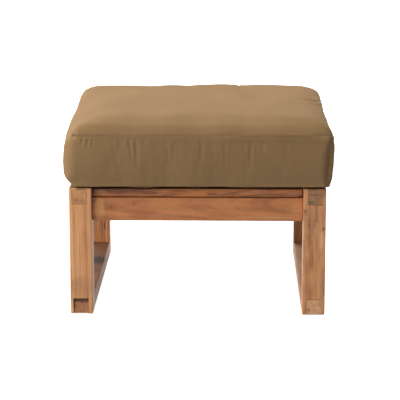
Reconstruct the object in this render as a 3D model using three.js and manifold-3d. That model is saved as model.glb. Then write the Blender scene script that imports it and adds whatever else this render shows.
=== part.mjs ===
// An outdoor ottoman footstool: two closed teak side frames with open mortise and tenon corners,
// tied by two aprons that carry a slatted deck, and a loose box cushion with a zip in its back.
// Millimetres, +Z up, the front faces -Y, the origin is on the ground under the middle.
import * as THREE from "three";
import { mergeVertices } from "three/addons/utils/BufferGeometryUtils.js";
import Module from "manifold-3d";

const wasm = await Module();
wasm.setup();

// The wooden frame as a whole
const frameWidth = 610;
const frameDepth = 610;
const frameHeight = 308;
const easeRadius = 3;
const endChamfer = 1.4;
const roundSteps = 2;

// Clearances: between faces that touch, and by how much a cut runs past a face
const gap = 0.3;
const overrun = 2;

// Corner posts and the bars between them, which form the two side loops
const postWidth = 54;
const postDepth = 52;
const railHeight = 38;
const runnerHeight = 38;
const tenonWidth = 36;
const outerCheek = 7.5;
const railTenonInset = 0.8;
const leftRunnerTenonInset = 4;
const rightRunnerTenonInset = 0.5;

// Aprons between the side loops
const apronHeight = 57;
const apronThickness = 26;
const apronSetback = 14;

// Deck of slats, a little below the tops of the rails, and its bearers, housed in the aprons
const deckRecess = 3.5;
const slatWidth = 70;
const slatSpacing = 14;
const slatThickness = 20.5;
const slatSetback = 18;
const slatEndGap = 1.5;
const bearerWidth = 22;
const bearerHeight = 45;
const housingDepth = 7;

// Knock-down fittings at each end of an apron
const boltRadius = 3;
const boltHeadRadius = 5.5;
const boltHeadHeight = 5.5;
const boltSocketAcross = 5;
const boltSocketDepth = 3;
const counterboreRadius = 7;
const counterboreDepth = 10;
const barrelNutRadius = 5;
const barrelNutLength = 16;
const barrelNutFromEnd = 32;
const boltPastNut = 3;
const dowelRadius = 4;
const dowelLength = 50;
const boltHeightShare = 0.67;
const dowelHeightShare = 0.25;

// Countersunk slat screws
const screwHeadRadius = 4.2;
const screwHeadHeight = 3;
const screwRim = 0.5;
const screwShankRadius = 2.1;
const screwLength = 42;
const screwTip = 5;
const screwSink = 0.4;

// Glides under the runners
const glideRadius = 11;
const glideHeight = 2.5;
const glideBevel = 0.8;
const glideStemRadius = 2.5;
const glideStemLength = 14;
const glideFromPost = 22;

// Cushion: how far each outline stands out past the frame, and how far it is shifted to the right,
// because the cover is a little twisted over its filling
const boxingHeight = 125;
const bodyOverhangX = 15.5;
const bodyOverhangY = 9;
const bodyShift = 1.5;
const topSeamOverhang = 1;
const topSeamShift = 11;
const topSeamBackOverhang = 12;
const topSeamBackShift = -3;
const bottomSeamOverhang = 1;
const bottomSeamShift = 10;
const frontSeamOverhang = 4.5;
const seamCornerRadius = 14;
const bodyCornerRadius = 34;
const rightDrawIn = 5;
const frontDrawIn = 1;
const leftSideBow = 9;
const coverThickness = 1.2;

// How the cushion's walls bulge between its seams, and the shoulders that round its panels to them
const rightBulgePower = 2.4;
const leftBulgePower = 5;
const frontBulgePower = 3;
const crownHeight = 37;
const domeHeight = 6;
const rightShoulder = 75;
const leftShoulder = 120;
const frontShoulder = 120;
const rightShoulderPower = 2.6;
const leftShoulderPower = 2.2;
const frontShoulderPower = 2.6;
const undersideRise = 5;
const undersideShoulder = 44;
const undersideShoulderPower = 1.2;
const shoulderTurnShares = [0.12, 0.36, 0.66, 1];
const undersideTurnShares = [1, 0.5];
const boxingLevelShares = [-1, -0.8, -0.5, -0.12, 0.12, 0.5, 0.8, 1];
const sideSteps = 6;
const cornerSteps = 2;

// Zip in the middle of the back boxing
const zipFromSides = 65;
const zipOpening = 13;
const chainWidth = 5;
const chainProud = 1.2;
const sliderLength = 10;
const sliderWall = 1.2;
const bailLength = 8;
const bailWidth = 2;
const bailBar = 1.2;
const pullBarRadius = 0.7;
const pullThickness = 1.2;
const pullEyeLength = 4.8;
const pullEyeWidth = 3.6;
const pullRim = 1.5;
const pullLength = 26;
const zipEndMargin = 4;

// Round things: sides of a bolt, nut or dowel, and of a screw or glide
const roundSides = 16;
const fineSides = 12;
const socketSides = 6;

// Places worked out from the sizes above
const frameBase = glideHeight + gap;
const innerHalfWidth = frameWidth / 2 - postWidth;
const postX = (frameWidth - postWidth) / 2;
const postY = (frameDepth - postDepth) / 2;
const tenonShift = postWidth / 2 - outerCheek - tenonWidth / 2;
const deckTop = frameHeight - deckRecess;
const deckUnderside = deckTop - slatThickness;
const apronTop = deckUnderside - gap;
const apronLength = 2 * (innerHalfWidth - gap);
const apronY = frameDepth / 2 - apronSetback - apronThickness / 2;
const apronZ = apronTop - apronHeight / 2;
const fittingZone = frameHeight - railHeight - (apronTop - apronHeight);
const boltZ = apronTop - apronHeight + boltHeightShare * fittingZone;
const dowelZ = apronTop - apronHeight + dowelHeightShare * fittingZone;
const bearerX = innerHalfWidth - gap - bearerWidth / 2;
const bearerLength = 2 * (apronY - apronThickness / 2 + housingDepth - gap);
const deckDepth = frameDepth - 2 * slatSetback;
const slatCount = Math.round((deckDepth + slatSpacing) / (slatWidth + slatSpacing));
const slatPitch = (deckDepth - slatWidth) / (slatCount - 1);
const slatLength = 2 * (innerHalfWidth - slatEndGap);
const glideY = postY - postDepth / 2 - glideFromPost;
const cushionBase = frameBase + frameHeight + gap;

const SIDES = { left: -1, right: 1 };
const ENDS = { front: -1, back: 1 };

// Finishes
function finish(color, roughness, metalness) {
  return new THREE.MeshStandardMaterial({ color, roughness, metalness });
}

const lightTeak = finish(0xb98a60, 0.6, 0);
const darkTeak = finish(0x9a6a48, 0.62, 0);
const slatTeak = finish(0x8a5f42, 0.65, 0);
const dowelWood = finish(0xc9a77c, 0.7, 0);
const steel = finish(0xb5b7b8, 0.35, 0.9);
const brass = finish(0xb08d4a, 0.35, 0.9);
const nylon = finish(0x2b2a28, 0.55, 0);
const foam = finish(0xe8e0c8, 0.9, 0);
const khakiFabric = finish(0x94765a, 0.9, 0);
const zipFabric = finish(0x6f5a42, 0.85, 0);
const zipPlastic = finish(0x5c4a36, 0.5, 0);

// A closed geometry as a solid that can be cut, and back again
function solid(geometry) {
  const bare = geometry.index ? geometry.toNonIndexed() : geometry.clone();
  bare.deleteAttribute("normal");
  bare.deleteAttribute("uv");
  const merged = mergeVertices(bare);
  return new wasm.Manifold(
    new wasm.Mesh({
      numProp: 3,
      vertProperties: merged.attributes.position.array,
      triVerts: new Uint32Array(merged.index.array),
    }),
  );
}

function geometryOf(cut) {
  const mesh = cut.getMesh();
  const geometry = new THREE.BufferGeometry();
  const positions = new Float32Array(mesh.vertProperties);
  geometry.setAttribute("position", new THREE.BufferAttribute(positions, mesh.numProp));
  geometry.setIndex(new THREE.BufferAttribute(new Uint32Array(mesh.triVerts), 1));
  geometry.computeVertexNormals();
  return geometry;
}

// The named piece, with the cutters taken away from its geometry
function piece(name, geometry, material, cutters = []) {
  let shaped = geometry;
  if (cutters.length) {
    let body = solid(geometry);
    for (const cutter of cutters) {
      body = body.subtract(solid(cutter));
    }
    shaped = geometryOf(body);
  }
  const mesh = new THREE.Mesh(shaped, material);
  mesh.name = name;
  return mesh;
}

// A box by its low and high corners
function block(low, high) {
  const size = high.map((top, i) => top - low[i]);
  const middle = high.map((top, i) => (top + low[i]) / 2);
  return new THREE.BoxGeometry(...size).translate(...middle);
}

function roundedRectangle(width, height, radius) {
  const x = width / 2;
  const y = height / 2;
  const shape = new THREE.Shape();
  shape.moveTo(x - radius, -y);
  shape.absarc(x - radius, radius - y, radius, -Math.PI / 2, 0);
  shape.absarc(x - radius, y - radius, radius, 0, Math.PI / 2);
  shape.absarc(radius - x, y - radius, radius, Math.PI / 2, Math.PI);
  shape.absarc(radius - x, radius - y, radius, Math.PI, 1.5 * Math.PI);
  return shape;
}

// A bar centred on the origin along Z, its long edges rounded over and its ends chamfered
function easedBar(width, height, length) {
  const bar = new THREE.ExtrudeGeometry(roundedRectangle(width, height, easeRadius), {
    depth: length - 2 * endChamfer,
    curveSegments: roundSteps,
    bevelThickness: endChamfer,
    bevelSize: endChamfer,
    bevelOffset: -endChamfer,
    bevelSegments: 1,
  });
  return bar.translate(0, 0, endChamfer - length / 2);
}

const barAlongX = (length, depth, height) => easedBar(height, depth, length).rotateY(Math.PI / 2);
const barAlongY = (width, length, height) => easedBar(width, height, length).rotateX(Math.PI / 2);

// A cylinder from one end to the other along X or Y, or a turned profile about Z
function rodAlongX(radius, from, to, sides = roundSides) {
  const rod = new THREE.CylinderGeometry(radius, radius, Math.abs(to - from), sides);
  return rod.rotateZ(Math.PI / 2).translate((from + to) / 2, 0, 0);
}

function rodAlongY(radius, from, to, sides = roundSides) {
  const rod = new THREE.CylinderGeometry(radius, radius, Math.abs(to - from), sides);
  return rod.translate(0, (from + to) / 2, 0);
}

function turned(profile, sides) {
  const points = profile.map(([radius, height]) => new THREE.Vector2(radius, height));
  return new THREE.LatheGeometry(points, sides).rotateX(Math.PI / 2);
}

// Posts: an open mortise at each end, and the holes for the apron's bolt and dowel
function postMesh(endName, sideName) {
  const side = SIDES[sideName];
  const end = ENDS[endName];
  const slotHalf = tenonWidth / 2 + gap;
  const slotX = side * tenonShift;
  const reach = postDepth / 2 + overrun;
  const topSlot = block(
    [slotX - slotHalf, -reach, frameHeight - railHeight - gap],
    [slotX + slotHalf, reach, frameHeight + overrun],
  );
  const bottomSlot = block(
    [slotX - slotHalf, -reach, -overrun],
    [slotX + slotHalf, reach, runnerHeight + gap],
  );
  const outer = (side * postWidth) / 2;
  const fittingY = end * apronY - end * postY;
  const boltHole = rodAlongX(boltRadius + gap, -outer - side * overrun, outer + side * overrun);
  const headHole = rodAlongX(counterboreRadius, outer - side * counterboreDepth, outer + side * overrun);
  const dowelDepth = side * (dowelLength / 2 + gap);
  const dowelHole = rodAlongX(dowelRadius + gap, -outer - side * overrun, dowelDepth - outer);
  boltHole.translate(0, fittingY, boltZ);
  headHole.translate(0, fittingY, boltZ);
  dowelHole.translate(0, fittingY, dowelZ);
  const bar = easedBar(postWidth, postDepth, frameHeight).translate(0, 0, frameHeight / 2);
  const name = `${endName}_${sideName}_post`;
  const mesh = piece(name, bar, lightTeak, [topSlot, bottomSlot, boltHole, headHole, dowelHole]);
  mesh.position.set(side * postX, end * postY, frameBase);
  return mesh;
}

// Rails and runners: a bar along Y whose cheeks are cut away at both ends to leave the tenons
function tenonedBar(name, side, height, inset, cutters = []) {
  const length = frameDepth - 2 * inset;
  const shoulder = frameDepth / 2 - postDepth - gap;
  const tenonX = side * tenonShift;
  const tall = height / 2 + overrun;
  const wide = postWidth / 2 + overrun;
  const cheeks = [];
  for (const end of Object.values(ENDS)) {
    const near = Math.min(end * shoulder, end * (frameDepth / 2 + overrun));
    const far = Math.max(end * shoulder, end * (frameDepth / 2 + overrun));
    cheeks.push(block([-wide, near, -tall], [tenonX - tenonWidth / 2, far, tall]));
    cheeks.push(block([tenonX + tenonWidth / 2, near, -tall], [wide, far, tall]));
  }
  return piece(name, barAlongY(postWidth, length, height), lightTeak, [...cheeks, ...cutters]);
}

function topRail(sideName) {
  const side = SIDES[sideName];
  const mesh = tenonedBar(`${sideName}_top_rail`, side, railHeight, railTenonInset);
  mesh.position.set(side * postX, 0, frameBase + frameHeight - railHeight / 2);
  return mesh;
}

function runner(sideName) {
  const side = SIDES[sideName];
  const inset = side < 0 ? leftRunnerTenonInset : rightRunnerTenonInset;
  const stems = Object.values(ENDS).map((end) =>
    turned(glideProfile(gap), fineSides).translate(0, end * glideY, -frameBase - runnerHeight / 2),
  );
  const mesh = tenonedBar(`${sideName}_runner`, side, runnerHeight, inset, stems);
  mesh.position.set(side * postX, 0, frameBase + runnerHeight / 2);
  return mesh;
}

// Glides: a bevelled disc on the ground with a stem pressed up into the runner
function glideProfile(clearance) {
  const stem = glideStemRadius + clearance;
  const top = glideHeight + glideStemLength + clearance;
  return [
    [0, 0],
    [glideRadius - glideBevel, 0],
    [glideRadius, glideBevel],
    [glideRadius, glideHeight],
    [stem, glideHeight],
    [stem, top],
    [0, top],
  ];
}

function glide(endName, sideName) {
  const mesh = piece(`glide_${endName}_${sideName}`, turned(glideProfile(0), fineSides), nylon);
  mesh.position.set(SIDES[sideName] * postX, ENDS[endName] * glideY, 0);
  return mesh;
}

// Aprons: housings for the bearers in the inner face, and the fittings' holes at both ends
function bearerPlaces() {
  return { left_bearer: -bearerX, centre_bearer: 0, right_bearer: bearerX };
}

function apron(endName) {
  const end = ENDS[endName];
  const inner = (-end * apronThickness) / 2;
  const halfLength = apronLength / 2;
  const cutters = [];
  for (const x of Object.values(bearerPlaces())) {
    const half = bearerWidth / 2 + gap;
    const walls = [inner + end * housingDepth, inner - end * overrun];
    const low = [x - half, Math.min(...walls), apronHeight / 2 - bearerHeight - gap];
    const high = [x + half, Math.max(...walls), apronHeight / 2 + overrun];
    cutters.push(block(low, high));
  }
  for (const side of Object.values(SIDES)) {
    const face = side * halfLength;
    const outside = face + side * overrun;
    const tip = face - side * (barrelNutFromEnd + barrelNutRadius + boltPastNut + gap);
    const bolt = rodAlongX(boltRadius + gap, tip, outside);
    const nutDepth = (end * barrelNutLength) / 2 + end * gap;
    const nut = rodAlongY(barrelNutRadius + gap, nutDepth, inner - end * overrun);
    const dowel = rodAlongX(dowelRadius + gap, face - side * (dowelLength / 2 + gap), outside);
    cutters.push(bolt.translate(0, 0, boltZ - apronZ));
    cutters.push(nut.translate(face - side * barrelNutFromEnd, 0, boltZ - apronZ));
    cutters.push(dowel.translate(0, 0, dowelZ - apronZ));
  }
  const board = barAlongX(apronLength, apronThickness, apronHeight);
  const mesh = piece(`${endName}_apron`, board, darkTeak, cutters);
  mesh.position.set(0, end * apronY, frameBase + apronZ);
  return mesh;
}

// Bolt, barrel nut and dowel at one end of an apron
function apronBolt(endName, sideName) {
  const side = SIDES[sideName];
  const seat = side * (frameWidth / 2 - counterboreDepth + gap);
  const nutX = side * (apronLength / 2 - barrelNutFromEnd);
  const tip = nutX - side * (barrelNutRadius + boltPastNut);
  const head = rodAlongX(boltHeadRadius, seat, seat + side * boltHeadHeight);
  const outer = seat + side * boltHeadHeight;
  const across = boltSocketAcross / Math.sqrt(3);
  const socket = rodAlongX(across, outer - side * boltSocketDepth, outer + side * overrun, socketSides);
  const shank = rodAlongX(boltRadius, tip, seat + side * (boltHeadHeight - boltSocketDepth) / 2);
  const bolt = solid(head).add(solid(shank)).subtract(solid(socket));
  const mesh = piece(`apron_bolt_${endName}_${sideName}`, geometryOf(bolt), steel);
  mesh.position.set(0, ENDS[endName] * apronY, frameBase + boltZ);
  return mesh;
}

function barrelNut(endName, sideName) {
  const body = rodAlongY(barrelNutRadius, -barrelNutLength / 2, barrelNutLength / 2);
  const reach = barrelNutRadius + overrun;
  const thread = rodAlongX(boltRadius + gap, -reach, reach);
  const mesh = piece(`barrel_nut_${endName}_${sideName}`, body, steel, [thread]);
  const x = SIDES[sideName] * (apronLength / 2 - barrelNutFromEnd);
  mesh.position.set(x, ENDS[endName] * apronY, frameBase + boltZ);
  return mesh;
}

function apronDowel(endName, sideName) {
  const rod = rodAlongX(dowelRadius, -dowelLength / 2, dowelLength / 2);
  const mesh = piece(`apron_dowel_${endName}_${sideName}`, rod, dowelWood);
  mesh.position.set(SIDES[sideName] * innerHalfWidth, ENDS[endName] * apronY, frameBase + dowelZ);
  return mesh;
}

// Slats and the screws that hold each one down on the side bearers
function slatY(index) {
  return index * slatPitch - deckDepth / 2 + slatWidth / 2;
}

function screwProfile(clearance) {
  const shank = screwShankRadius + clearance;
  const head = screwHeadRadius + clearance;
  const top = clearance ? overrun : 0;
  return [
    [0, -screwLength - clearance],
    [shank, screwTip - screwLength],
    [shank, -screwHeadHeight],
    [head, -screwRim],
    [head, top],
    [0, top],
  ];
}

function screwPlaces() {
  return Object.entries(SIDES).map(([sideName, side]) => [sideName, side * bearerX]);
}

function slat(index) {
  const holes = screwPlaces().map(([, x]) =>
    turned(screwProfile(gap), fineSides).translate(x, 0, slatThickness / 2 - screwSink),
  );
  const board = barAlongX(slatLength, slatWidth, slatThickness);
  const mesh = piece(`slat_${index + 1}`, board, slatTeak, holes);
  mesh.position.set(0, slatY(index), frameBase + deckTop - slatThickness / 2);
  return mesh;
}

function slatScrew(index, sideName, x) {
  const mesh = piece(`slat_screw_${index + 1}_${sideName}`, turned(screwProfile(0), fineSides), brass);
  mesh.position.set(x, slatY(index), frameBase + deckTop - screwSink);
  return mesh;
}

function bearer(name, x) {
  const pilots = [];
  if (x) {
    for (let index = 0; index < slatCount; index += 1) {
      const pilot = turned(screwProfile(gap), fineSides);
      const top = bearerHeight / 2 + gap + slatThickness - screwSink;
      pilots.push(pilot.translate(0, slatY(index), top));
    }
  }
  const bar = barAlongY(bearerWidth, bearerLength, bearerHeight);
  const mesh = piece(name, bar, darkTeak, pilots);
  mesh.position.set(x, 0, frameBase + apronTop - bearerHeight / 2);
  return mesh;
}

// Cushion: its sides are numbered anticlockwise from the right one, and t runs along a side from -1
// to 1 between the middles of its corners. A value of its own for each side blends at the corners.
function bySide(side, t, right, front, left = right) {
  const blend = t ** 4;
  if (side % 2) {
    return front + blend * ((right + front) / 2 - front);
  }
  const own = side === 2 ? left : right;
  return own + blend * ((right + front) / 2 - own);
}

// The places t of a loop's points along one side, for corners of the given radius
function sidePlaces(radius) {
  const straight = frameWidth / 2 - radius;
  const reach = straight + (radius * Math.PI) / 4;
  const places = [];
  for (let step = 0; step < cornerSteps; step += 1) {
    places.push(-1 + (step / cornerSteps) * (1 - straight / reach));
  }
  for (let step = 0; step <= sideSteps; step += 1) {
    places.push(((2 * step) / sideSteps - 1) * (straight / reach));
  }
  for (let step = 1; step < cornerSteps; step += 1) {
    places.push((straight + (step / cornerSteps) * (reach - straight)) / reach);
  }
  return places;
}

// A point of the wall at a level from -1, the bottom seam, to 1, the top seam, set in by the given
// depth. Towards the back the top seam is wider and less shifted than at the front.
function wallPoint(side, t, level, radius, inset) {
  const bulge = 1 - Math.abs(level) ** bySide(side, t, rightBulgePower, frontBulgePower, leftBulgePower);
  const upper = (1 + level) / 2;
  const overhang = bottomSeamOverhang + upper * (topSeamOverhang - bottomSeamOverhang);
  const shift = bottomSeamShift + upper * (topSeamShift - bottomSeamShift);
  const overhangY = frontSeamOverhang + bulge * (bodyOverhangY - frontSeamOverhang);
  const halfWidth = frameWidth / 2 + overhang + bulge * (bodyOverhangX - overhang) - inset;
  const halfDepth = frameDepth / 2 + overhangY - inset;
  const halfOut = side % 2 ? halfDepth : halfWidth;
  const straight = (side % 2 ? halfWidth : halfDepth) - radius;
  const reach = t * (straight + (radius * Math.PI) / 4);
  const held = Math.max(-straight, Math.min(straight, reach));
  const turn = (reach - held) / radius;
  const drawIn = side === 2 ? -leftSideBow : side === 0 ? rightDrawIn : frontDrawIn;
  const out = halfOut - radius * (1 - Math.cos(turn)) - level ** 2 * drawIn * (1 - t ** 2);
  const along = held + radius * Math.sin(turn);
  const flat = new THREE.Vector2(out, along).rotateAround(new THREE.Vector2(), (side * Math.PI) / 2);
  const toBack = (upper * (1 - bulge) * (flat.y / halfDepth + 1)) / 2;
  const widening = 1 + (toBack * (topSeamBackOverhang - topSeamOverhang)) / halfWidth;
  const middleX = shift + bulge * (bodyShift - shift) + toBack * (topSeamBackShift - topSeamShift);
  const height = undersideRise + upper * boxingHeight - inset * level;
  return new THREE.Vector3(middleX + widening * flat.x, flat.y, height);
}

// The loop at a level; every point of it remembers its side and place for the panel's rings
function boxingLoop(level, inset) {
  const radius = seamCornerRadius + (1 - level ** 2) * (bodyCornerRadius - seamCornerRadius) - inset;
  const loop = [];
  for (let side = 0; side < 4; side += 1) {
    for (const t of sidePlaces(radius)) {
      loop.push({ side, t, point: wallPoint(side, t, level, radius, inset) });
    }
  }
  return loop;
}

// A ring of a panel: its shoulder is a quarter of a superellipse, from a turn of 0 at the seam to 1
function panelRing(seam, middleX, turnShare, widthAt, powerAt, rise, dome) {
  const turn = (turnShare * Math.PI) / 2;
  return seam.map(({ side, t, point }) => {
    const power = 2 / powerAt(side, t);
    const width = widthAt(side, t) / (frameWidth / 2);
    const share = 1 - width * (1 - Math.cos(turn) ** power);
    const x = middleX + share * (point.x - middleX);
    const lift = rise * Math.sin(turn) ** power + dome * (1 - share ** 2);
    return new THREE.Vector3(x, share * point.y, point.z + lift);
  });
}

function middleOf(loop) {
  const middle = loop.reduce((sum, point) => sum.add(point), new THREE.Vector3());
  return middle.divideScalar(loop.length);
}

// A closed skin through loops that turn the same way, closed by a point at each end
function loftedSkin(loops, firstPole, lastPole) {
  const count = loops[0].length;
  const points = [firstPole, ...loops.flat(), lastPole];
  const at = (ring, i) => 1 + ring * count + (i % count);
  const faces = [];
  for (let i = 0; i < count; i += 1) {
    faces.push(0, at(0, i + 1), at(0, i));
    for (let ring = 0; ring + 1 < loops.length; ring += 1) {
      faces.push(at(ring, i), at(ring, i + 1), at(ring + 1, i + 1));
      faces.push(at(ring, i), at(ring + 1, i + 1), at(ring + 1, i));
    }
    faces.push(at(loops.length - 1, i), at(loops.length - 1, i + 1), points.length - 1);
  }
  const geometry = new THREE.BufferGeometry().setFromPoints(points);
  geometry.setIndex(faces);
  geometry.computeVertexNormals();
  return geometry;
}

// The cushion's crowned form, everywhere set in by the given depth
function cushionForm(inset) {
  const boxing = boxingLevelShares.map((level) => boxingLoop(level, inset));
  const [bottomSeam] = boxing;
  const topSeam = boxing[boxing.length - 1];
  const shoulderAt = (side, t) => bySide(side, t, rightShoulder, frontShoulder, leftShoulder);
  const powerAt = (side, t) => bySide(side, t, rightShoulderPower, frontShoulderPower, leftShoulderPower);
  const lowShoulderAt = () => undersideShoulder;
  const lowPowerAt = () => undersideShoulderPower;
  const bottomRings = undersideTurnShares.map((share) =>
    panelRing(bottomSeam, bottomSeamShift, share, lowShoulderAt, lowPowerAt, -undersideRise, 0),
  );
  const topRings = shoulderTurnShares.map((share) =>
    panelRing(topSeam, topSeamShift, share, shoulderAt, powerAt, crownHeight - domeHeight, domeHeight),
  );
  const walls = boxing.map((loop) => loop.map(({ point }) => point));
  const lowPole = middleOf(walls[0]).setZ(walls[0][0].z - undersideRise);
  const highPole = middleOf(topRings[0]).setZ(topSeam[0].point.z + crownHeight);
  return loftedSkin([...bottomRings, ...walls, ...topRings], lowPole, highPole);
}

function cushionFoam() {
  return piece("cushion_foam", cushionForm(coverThickness + gap), foam);
}

function cushionCover() {
  const zipSlot = block(
    [-zipLength / 2 - gap, zipFace - coverThickness - gap, zipZ - zipOpening / 2],
    [zipLength / 2 + gap, zipFace + overrun, zipZ + zipOpening / 2],
  );
  return piece("cushion_cover", cushionForm(0), khakiFabric, [cushionForm(coverThickness), zipSlot]);
}

// Zip: two tapes in the slot, the chain between them, and the slider with its pull
const zipZ = undersideRise + boxingHeight / 2;
const zipFace = frameDepth / 2 + bodyOverhangY;
const zipLength = frameWidth - 2 * zipFromSides;
const tapeHeight = (zipOpening - chainWidth) / 2 - 2 * gap;
const sliderFace = zipFace + chainProud + gap;
const bailFloor = sliderFace + sliderWall;
const pullAxisY = bailFloor + gap + Math.max(pullBarRadius, pullThickness / 2);
const sliderRestX = zipLength / 2 - zipEndMargin - sliderLength / 2;

function zipTape(name, up) {
  const middle = up * (chainWidth / 2 + gap + tapeHeight / 2);
  const tape = block(
    [-zipLength / 2, zipFace - coverThickness, middle - tapeHeight / 2],
    [zipLength / 2, zipFace, middle + tapeHeight / 2],
  );
  const mesh = piece(name, tape, zipFabric);
  mesh.position.set(0, 0, zipZ);
  return mesh;
}

function zipChain() {
  const chain = block(
    [-zipLength / 2, zipFace - coverThickness, -chainWidth / 2],
    [zipLength / 2, zipFace + chainProud, chainWidth / 2],
  );
  const mesh = piece("zip_chain", chain, zipPlastic);
  mesh.position.set(0, 0, zipZ);
  return mesh;
}

// The slider's channel rides over the chain, and its bail is an arch along the zip
function zipSlider() {
  const halfLength = sliderLength / 2;
  const halfWidth = chainWidth / 2 + gap + sliderWall;
  const plate = block([-halfLength, zipFace + gap, -halfWidth], [halfLength, bailFloor, halfWidth]);
  const channel = block(
    [-halfLength - overrun, zipFace, -chainWidth / 2 - gap],
    [halfLength + overrun, sliderFace, chainWidth / 2 + gap],
  );
  const archTop = pullAxisY + pullBarRadius + gap + bailBar;
  const arch = block(
    [-bailLength / 2, bailFloor - sliderWall / 2, -bailWidth / 2],
    [bailLength / 2, archTop, bailWidth / 2],
  );
  const eye = block(
    [bailBar - bailLength / 2, bailFloor, -bailWidth],
    [bailLength / 2 - bailBar, archTop - bailBar, bailWidth],
  );
  const shape = solid(plate).subtract(solid(channel)).add(solid(arch).subtract(solid(eye)));
  const mesh = piece("zip_slider", geometryOf(shape), brass);
  mesh.position.set(sliderRestX, 0, zipZ);
  return mesh;
}

// The pull lies back along the zip, its bar under the bail and its eye round the bail's leg
function zipPull() {
  const outline = new THREE.Shape();
  const half = pullEyeWidth / 2 + pullRim;
  outline.moveTo(pullBarRadius, -half);
  outline.lineTo(pullBarRadius, half);
  outline.lineTo(half - pullLength, half);
  outline.absarc(half - pullLength, 0, half, Math.PI / 2, 1.5 * Math.PI);
  const eye = new THREE.Path();
  eye.moveTo(-pullBarRadius, -pullEyeWidth / 2);
  eye.lineTo(-pullBarRadius - pullEyeLength, -pullEyeWidth / 2);
  eye.lineTo(-pullBarRadius - pullEyeLength, pullEyeWidth / 2);
  eye.lineTo(-pullBarRadius, pullEyeWidth / 2);
  outline.holes.push(eye);
  const plate = new THREE.ExtrudeGeometry(outline, {
    depth: pullThickness,
    curveSegments: fineSides / 2,
    bevelEnabled: false,
  });
  plate.translate(0, 0, -pullThickness / 2).rotateX(Math.PI / 2);
  const mesh = piece("zip_pull", plate, brass);
  mesh.position.set(sliderRestX, pullAxisY, zipZ);
  return mesh;
}

// Assembly
function wholeFrame() {
  const group = new THREE.Group();
  for (const sideName of Object.keys(SIDES)) {
    group.add(topRail(sideName), runner(sideName));
    for (const endName of Object.keys(ENDS)) {
      group.add(postMesh(endName, sideName), glide(endName, sideName));
      group.add(apronBolt(endName, sideName), barrelNut(endName, sideName));
      group.add(apronDowel(endName, sideName));
    }
  }
  for (const endName of Object.keys(ENDS)) {
    group.add(apron(endName));
  }
  for (const [name, x] of Object.entries(bearerPlaces())) {
    group.add(bearer(name, x));
  }
  for (let index = 0; index < slatCount; index += 1) {
    group.add(slat(index));
    for (const [sideName, x] of screwPlaces()) {
      group.add(slatScrew(index, sideName, x));
    }
  }
  return group;
}

function wholeCushion() {
  const group = new THREE.Group();
  group.add(cushionFoam(), cushionCover());
  group.add(zipTape("zip_tape_upper", 1), zipTape("zip_tape_lower", -1), zipChain());
  group.add(zipSlider(), zipPull());
  group.position.z = cushionBase;
  return group;
}

const ottoman = new THREE.Group();
ottoman.add(wholeFrame(), wholeCushion());

export default ottoman;
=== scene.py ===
import math
import random

import bpy
import numpy as np
from mathutils import Euler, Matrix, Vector


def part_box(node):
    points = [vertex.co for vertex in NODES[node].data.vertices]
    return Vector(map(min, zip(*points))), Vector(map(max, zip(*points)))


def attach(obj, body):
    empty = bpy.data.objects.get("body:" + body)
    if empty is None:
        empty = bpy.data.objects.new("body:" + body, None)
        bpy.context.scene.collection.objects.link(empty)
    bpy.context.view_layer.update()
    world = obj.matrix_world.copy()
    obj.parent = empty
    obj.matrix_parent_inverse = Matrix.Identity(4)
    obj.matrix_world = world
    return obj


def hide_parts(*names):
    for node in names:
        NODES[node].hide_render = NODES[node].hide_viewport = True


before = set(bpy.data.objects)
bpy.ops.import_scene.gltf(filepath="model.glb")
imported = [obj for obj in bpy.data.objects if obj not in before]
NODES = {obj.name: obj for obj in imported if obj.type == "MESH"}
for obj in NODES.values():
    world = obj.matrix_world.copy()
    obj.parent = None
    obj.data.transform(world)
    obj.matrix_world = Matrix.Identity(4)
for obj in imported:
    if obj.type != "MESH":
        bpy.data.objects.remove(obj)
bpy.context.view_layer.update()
MM = 0.001

# Camera, as the photograph was taken: low, a little to the right, looking down on the seat
CAMERA_PLACE = (0.0781, -4.1127, 1.134)
CAMERA_TURN = Euler((math.radians(90 - 12.58), 0, math.radians(1.08)))
CAMERA_LENS = 148.5
CAMERA_SENSOR = 36.0
HALF_PICTURE = 200
# What a pixel spans at a distance of one metre
PIXEL_REACH = CAMERA_SENSOR / CAMERA_LENS / 2 / HALF_PICTURE

# Cushion, the same form as its solid in the frame, in metres
FRAME_HALF = 305 * MM
BOXING_HEIGHT = 125 * MM
BODY_OVERHANG_X = 15.5 * MM
BODY_OVERHANG_Y = 9 * MM
BODY_SHIFT = 1.5 * MM
SEAM_OVERHANG_X = 1 * MM
TOP_SHIFT = 11 * MM
TOP_BACK_OVERHANG = 12 * MM
TOP_BACK_SHIFT = -3 * MM
BOTTOM_SHIFT = 10 * MM
SEAM_CORNER = 14 * MM
BODY_CORNER = 34 * MM
CROWN = 37 * MM
UNDERSIDE_RISE = 5 * MM

# Where the drawn form goes beyond its solid: flatter walls in front and behind, and rounder
# shoulders. Values in brackets are for the right, back, left and front
BULGE_POWERS = (2.4, 3.0, 5.0, 3.0)
DRAW_INS = (5 * MM, 1 * MM, -9 * MM, 1 * MM)
SHOULDERS = (58 * MM, 120 * MM, 120 * MM, 148 * MM)
SHOULDER_POWERS = (2.6, 2.6, 2.2, 2.25)
SEAM_OVERHANG_Y = 4.5 * MM
DOME = 6 * MM
UNDERSIDE_SHOULDER = 44 * MM
UNDERSIDE_POWER = 1.2
CORE_INSET = 12 * MM

# Cushion mesh: cells along a side and up the wall before they are halved, the ring where the
# shoulder begins, and how the cells narrow at the seams
SIDE_CELLS = 88
WALL_CELLS = 22
SHOULDER_RING = 0.5
SEAM_GRADING = 1.35
WALL_GRADING = 0.5
HIP_SOFTNESS = 30

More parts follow.
